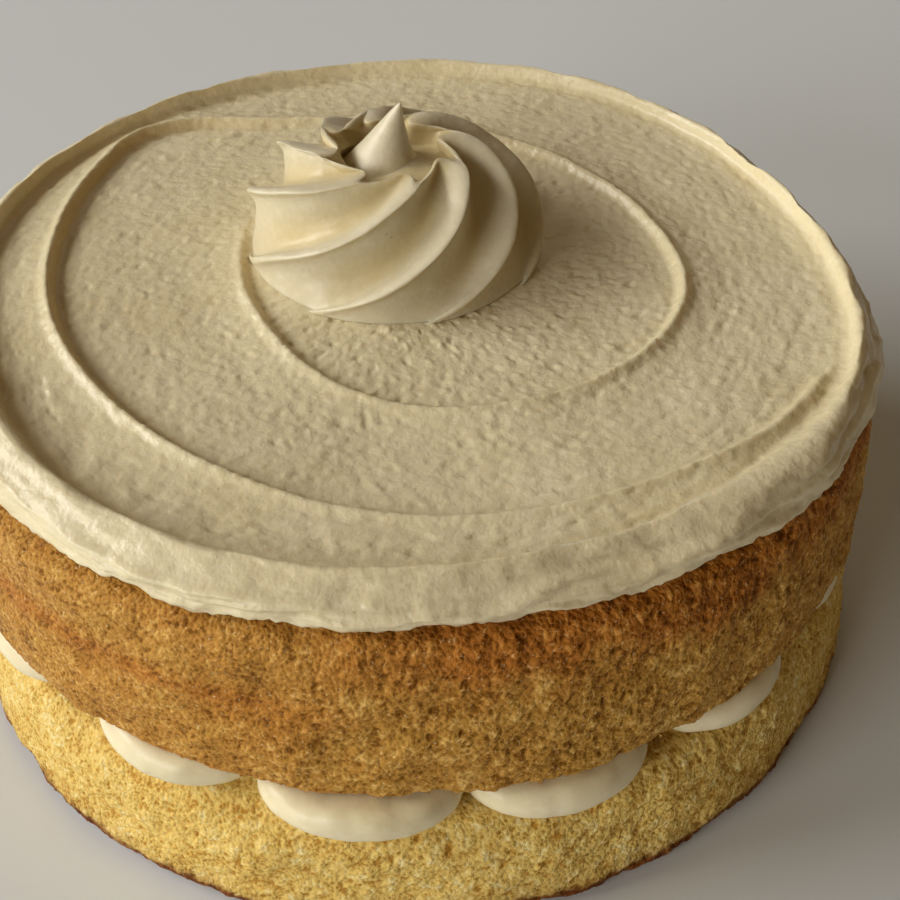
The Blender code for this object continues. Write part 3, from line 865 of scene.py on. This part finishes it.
def sponge(name, pale, brown, glint_colour, roughness):
    """Baked sponge: a dull open crumb browned by the tin, with painted shade that makes each pore darker and
    richer than its walls, and painted highlights on thin walls.
    """
    material, tree, shader, place = material_of(
        name,
        {"IOR": 1.40, "Subsurface Weight": 0.12, "Subsurface Scale": 0.0008,
         "Subsurface Radius": (1.0, 0.6, 0.25), "Specular IOR Level": 0.18},
    )  # fmt: skip
    hollow = kept(tree, "hollow")
    browning = kept(tree, "browning")
    torn = kept(tree, "torn")
    apart = {"Vector": place, "Scale": 1 / (PORE_MM * MM)}
    pores = node(tree, "ShaderNodeTexVoronoi", {"feature": "F1"}, apart)
    fine = texture(tree, place, 0.5, 3, 0.6)
    coarse = texture(tree, place, 1.1, 4, 0.6)
    fine = mixed(tree, torn, fine, coarse)
    # Painted shade: the hollows and the middles of the pores are darker.
    tone = maths(tree, "MULTIPLY_ADD", fine, 0.85, maths(tree, "MULTIPLY_ADD", hollow, 0.55, 0.05))
    tone = maths(tree, "MULTIPLY_ADD", pores.outputs["Distance"], -0.25, tone)
    patches = maths(tree, "MULTIPLY_ADD", texture(tree, place, 2.6, 2), 0.45, texture(tree, place, 7, 3))
    tone = maths(tree, "MULTIPLY_ADD", patches, 0.42, maths(tree, "SUBTRACT", tone, 0.305))
    pale_colour = ramp(tree, tone, pale)
    brown_colour = ramp(tree, tone, brown)
    colour = mixed(tree, browning, pale_colour, brown_colour)
    # Here and there a painted highlight, where a thin bright wall of the crumb catches the light.
    glints = stepped(tree, texture(tree, place, 0.6, 2), 0.62, 0.72)
    colour = mixed(tree, maths(tree, "MULTIPLY", glints, 0.34), colour, linear(glint_colour))
    tree.links.new(colour, shader.inputs["Base Color"])
    # Smooth crust, the painted highlights and the glazed band are glossier than torn crumb.
    gloss = maths(tree, "MULTIPLY_ADD", torn, 0.2, roughness - 0.2)
    gloss = maths(tree, "MULTIPLY_ADD", glints, -0.22, gloss)
    gloss = maths(tree, "MULTIPLY_ADD", kept(tree, "glaze"), -0.20, gloss, clamp=True)
    tree.links.new(gloss, shader.inputs["Roughness"])
    height = maths(tree, "MULTIPLY_ADD", fine, 1.0, maths(tree, "MULTIPLY", pores.outputs["Distance"], -0.6))
    bumped(tree, shader, height, 0.42)
    return material


# Spread with the knife: satin, with the grain of the sugar in it.
ICING_CREAM = buttercream(
    "spread_buttercream",
    [(0.30, "#DBCBA2"), (0.5, "#E3D6B0"), (0.72, "#ECE0BE")],
    shade_colour="#D4B676",
    roughness=0.32,
    speck_amount=0.25,
    grain_mm=0.20,
)
# The same cream piped: smoother, with golden painted shade in its creases.
ROSETTE_CREAM = buttercream(
    "piped_buttercream",
    [(0.30, "#D2C7A6"), (0.5, "#D9CFB1"), (0.72, "#E3DAC0")],
    shade_colour="#C9AF6A",
    roughness=0.36,
    speck_amount=0.35,
    grain_mm=0.10,
)
# The filling: paler, smooth and softly shining, with painted shade where it runs in between the sponges.
DOLLOP_CREAM = buttercream(
    "filling_cream",
    [(0.30, "#E6D8AE"), (0.5, "#EBDFB9"), (0.72, "#F0E5C5")],
    shade_colour="#E4C88C",
    roughness=0.34,
    speck_amount=0.0,
    grain_mm=0.06,
)
# Browned in the tin: a golden crumb, red-brown under the icing.
BROWNED_CRUMB = sponge(
    "browned_sponge_crumb",
    [(0.34, "#E0B868"), (0.56, "#BF9040"), (0.84, "#8A5C18")],
    [(0.34, "#D09446"), (0.56, "#B27028"), (0.84, "#7C4810")],
    glint_colour="#FFE3A8",
    roughness=0.66,
)
# Barely browned: a dull yellow crumb, with a dark crust line at its foot.
PALE_CRUMB = sponge(
    "pale_sponge_crumb",
    [(0.34, "#F6E2A2"), (0.56, "#E8C66E"), (0.84, "#C08E3A")],
    [(0.35, "#9A5A22"), (0.62, "#6E3A14"), (0.90, "#47220A")],
    glint_colour="#FFE498",
    roughness=0.85,
)


def set_material(piece, material):
    piece.data.materials.clear()
    piece.data.materials.append(material)


# The stage: a plain pale floor, a window's soft light from the left, and the photograph's camera

FLOOR_SIZE = 6.0
# Name, degrees round from the cake's right, degrees up, metres away, width and height, watts and colour.
LAMPS = [
    ("window", 177, 29, 4.0, (3.0, 1.3), 124, "#FFFEFB"),
    ("window_side", 226, 17, 3.5, (1.9, 1.5), 58, "#FFFEFB"),
    ("room", 82, 38, 3.5, (2.4, 1.6), 6, "#FFFCF4"),
]
LAMPS_AIM = Vector((0, 0, 0.04))
ROOM_COLOUR = "#E8BE80"
ROOM_STRENGTH = 0.135
# The camera, from rings fitted to the photograph.
CAMERA_LENS = 56
CAMERA_PLACE = Vector((7.327, -182.673, 188.601))
CAMERA_FORWARD = Vector((0, 0.74149, -0.67096))
CAMERA_UP = Vector((-0.00462, 0.67096, 0.74148))


def add_lamp(name, azimuth, elevation, distance, size, power, colour):
    light = bpy.data.lights.new(name, "AREA")
    light.shape = "RECTANGLE"
    light.size, light.size_y = size
    light.energy = power
    light.color = linear(colour)[:3]
    made = bpy.data.objects.new(name, light)
    bpy.context.scene.collection.objects.link(made)
    a, e = math.radians(azimuth), math.radians(elevation)
    made.location = Vector((math.cos(a) * math.cos(e), math.sin(a) * math.cos(e), math.sin(e))) * distance
    made.rotation_euler = (LAMPS_AIM - made.location).to_track_quat("-Z", "Y").to_euler()


def make_stage():
    bpy.ops.mesh.primitive_plane_add(size=FLOOR_SIZE)
    floor = bpy.context.object
    floor.name = "floor"
    # A matt painted board: nearly grey white, with a broad faint sheen.
    material, tree, shader, place = material_of("matt_floor", {"Roughness": 0.55, "Specular IOR Level": 0.3})
    tint = ramp(tree, texture(tree, place, 900, 1), [(0.3, "#E0E5E7"), (0.7, "#E3E8EA")])
    tree.links.new(tint, shader.inputs["Base Color"])
    floor.data.materials.append(material)
    for lamp in LAMPS:
        add_lamp(*lamp)
    world = bpy.data.worlds.new("room")
    world.use_nodes = True
    room = world.node_tree.nodes["Background"]
    room.inputs["Color"].default_value = linear(ROOM_COLOUR)
    room.inputs["Strength"].default_value = ROOM_STRENGTH
    bpy.context.scene.world = world
    bpy.context.scene.view_settings.view_transform = "Standard"


def make_camera():
    camera = bpy.data.cameras.new("camera")
    camera.lens = CAMERA_LENS
    camera.sensor_width = 36
    made = bpy.data.objects.new("camera", camera)
    bpy.context.scene.collection.objects.link(made)
    forward = CAMERA_FORWARD.normalized()
    right = forward.cross(CAMERA_UP).normalized()
    up = right.cross(forward).normalized()
    matrix = Matrix((right, up, -forward)).transposed().to_4x4()
    matrix.translation = CAMERA_PLACE * MM
    made.matrix_world = matrix
    bpy.context.scene.camera = made


make_stage()
make_camera()
make_icing(ICING_CREAM)
make_rosette(ROSETTE_CREAM)
make_dollops(DOLLOP_CREAM)
make_upper_sponge(BROWNED_CRUMB)
make_lower_sponge(PALE_CRUMB)
set_material(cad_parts["cream_filling"], DOLLOP_CREAM)

# Crumbs that fell on the ledge, and crumbs that cling to the upper sponge's hem.
on_ledge = scattered(420, seed=5, low=22.3, high=22.9, near=69, far=73)
on_hem = scattered(300, seed=9, low=28.9, high=29.8, near=73.6, far=75.0)
make_crumbs("ledge_crumbs", PALE_CRUMB, on_ledge, (0.25, 0.6), 8)
make_crumbs("hem_crumbs", BROWNED_CRUMB, on_hem, (0.2, 0.45), 4)
